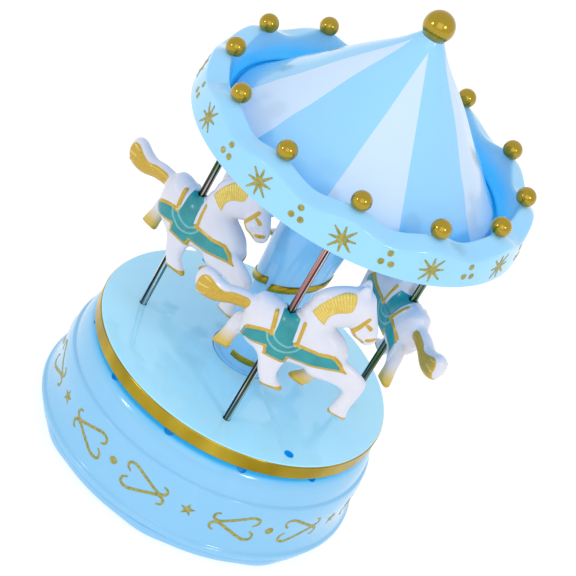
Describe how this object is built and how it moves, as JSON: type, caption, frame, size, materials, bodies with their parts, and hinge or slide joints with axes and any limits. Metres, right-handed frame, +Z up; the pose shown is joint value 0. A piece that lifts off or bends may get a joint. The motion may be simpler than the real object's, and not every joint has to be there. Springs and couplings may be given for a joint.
{
  "type": "carousel music box",
  "caption": "Wind-up carousel music box: round base with a pinned-cylinder movement, gold-rimmed turntable, horses on poles and a scalloped canopy with a cone roof.",
  "frame": {"origin": "on the turning axis, at the table, at the middle of the central foot pad", "axes": "+Z up along the carousel's axis; -Y is the side seen in front, where one pole stands 7.9 degrees towards +X; the carousel turns about +Z"},
  "size_m": [0.107, 0.0996, 0.161],
  "materials": {
    "blue_plastic": "glossy light-blue moulded plastic",
    "striped_plastic": "glossy light blue and near-white sectors",
    "gold_foil": "metallic gold foil",
    "gold_paint": "glossy gold lacquer",
    "chrome": "bright plated",
    "horse_plastic": "white plastic with gold and teal paint",
    "brass": "machined",
    "spring_steel": "brushed",
    "zinc": "die-cast zinc",
    "nylon": "natural nylon",
    "rubber": "matt"
  },
  "bodies": {
    "base": {"base_housing": "blue_plastic", "deck_bush": "nylon", "movement_bedplate": "zinc", "comb": "spring_steel", "comb_base": "zinc", "comb_screw_1": "spring_steel", "comb_screw_2": "spring_steel", "governor_bracket": "zinc", "click_pin": "spring_steel", "bedplate_screw_1": "spring_steel", "bedplate_screw_2": "spring_steel", "bedplate_screw_3": "spring_steel", "bedplate_screw_4": "spring_steel"},
    "winding_foot": {"winding_foot": "blue_plastic", "winding_arbor": "spring_steel", "foot_pad_centre": "rubber", "foot_pad_1": "rubber", "foot_pad_2": "rubber", "foot_pad_3": "rubber"},
    "carousel": {"turntable_deck": "blue_plastic", "deck_rim": "gold_foil", "centre_column": "blue_plastic", "column_foot_ring": "gold_foil", "canopy_ceiling": "blue_plastic", "canopy_fascia": "blue_plastic", "cone_roof": "striped_plastic", "finial_ball": "gold_paint", "canopy_screw": "spring_steel", "deck_screw": "spring_steel", "spring_barrel": "brass", "mainspring": "spring_steel", "crown_ball_1": "gold_paint", "crown_ball_2": "gold_paint", "crown_ball_3": "gold_paint", "crown_ball_4": "gold_paint", "crown_ball_5": "gold_paint", "crown_ball_6": "gold_paint", "crown_ball_7": "gold_paint", "crown_ball_8": "gold_paint", "crown_ball_9": "gold_paint", "crown_ball_10": "gold_paint", "crown_ball_11": "gold_paint", "crown_ball_12": "gold_paint", "pole_front": "chrome", "pole_right": "chrome", "pole_back": "chrome", "pole_left": "chrome"},
    "pin_cylinder": {"pin_cylinder": "brass"},
    "governor_wheel": {"governor_wheel": "brass"},
    "governor_fan": {"governor_fan": "spring_steel"},
    "ratchet_click": {"ratchet_click": "spring_steel"},
    "horse_front": {"horse_front": "horse_plastic"},
    "horse_right": {"horse_right": "horse_plastic"},
    "horse_back": {"horse_back": "horse_plastic"},
    "horse_left": {"horse_left": "horse_plastic"}
  },
  "joints": [
    {"name": "carousel_spin", "type": "hinge", "parent": "base", "child": "carousel", "pos_m": [0, 0, 0.036], "axis": [0, 0, 1], "continuous": true},
    {"name": "winding_turn", "type": "hinge", "parent": "base", "child": "winding_foot", "pos_m": [0, 0, 0.005], "axis": [0, 0, 1], "continuous": true},
    {"name": "cylinder_turn", "type": "hinge", "parent": "base", "child": "pin_cylinder", "pos_m": [0.03, 0, 0.02331], "axis": [1, 0, 0], "continuous": true},
    {"name": "governor_wheel_turn", "type": "hinge", "parent": "base", "child": "governor_wheel", "pos_m": [-0.0226, 0, 0.016], "axis": [0, 0, 1], "continuous": true},
    {"name": "governor_fan_turn", "type": "hinge", "parent": "base", "child": "governor_fan", "pos_m": [-0.0333, 0, 0.019], "axis": [0, 1, 0], "continuous": true},
    {"name": "click_swing", "type": "hinge", "parent": "base", "child": "ratchet_click", "pos_m": [0.0115, -0.006, 0.0088], "axis": [0, 0, -1], "range_deg": [0, 12], "stiffness_Nm_per_rad": 0.0005, "springref_deg": -11.46},
    {"name": "horse_front_swivel", "type": "hinge", "parent": "carousel", "child": "horse_front", "pos_m": [0.00454, -0.03269, 0.075], "axis": [0, 0, 1], "range_deg": [-42, 60]},
    {"name": "horse_right_swivel", "type": "hinge", "parent": "carousel", "child": "horse_right", "pos_m": [0.03269, 0.00454, 0.075], "axis": [0, 0, 1], "range_deg": [-75, 35]},
    {"name": "horse_back_swivel", "type": "hinge", "parent": "carousel", "child": "horse_back", "pos_m": [-0.00454, 0.03269, 0.075], "axis": [0, 0, 1], "range_deg": [-50, 60]},
    {"name": "horse_left_swivel", "type": "hinge", "parent": "carousel", "child": "horse_left", "pos_m": [-0.03269, -0.00454, 0.075], "axis": [0, 0, 1], "range_deg": [-105, 8]}
  ],
  "couplings": [
    {"joint": "cylinder_turn", "follows": "carousel_spin", "ratio": 1.9375},
    {"joint": "governor_wheel_turn", "follows": "carousel_spin", "ratio": -2.75},
    {"joint": "governor_fan_turn", "follows": "carousel_spin", "ratio": -55}
  ]
}
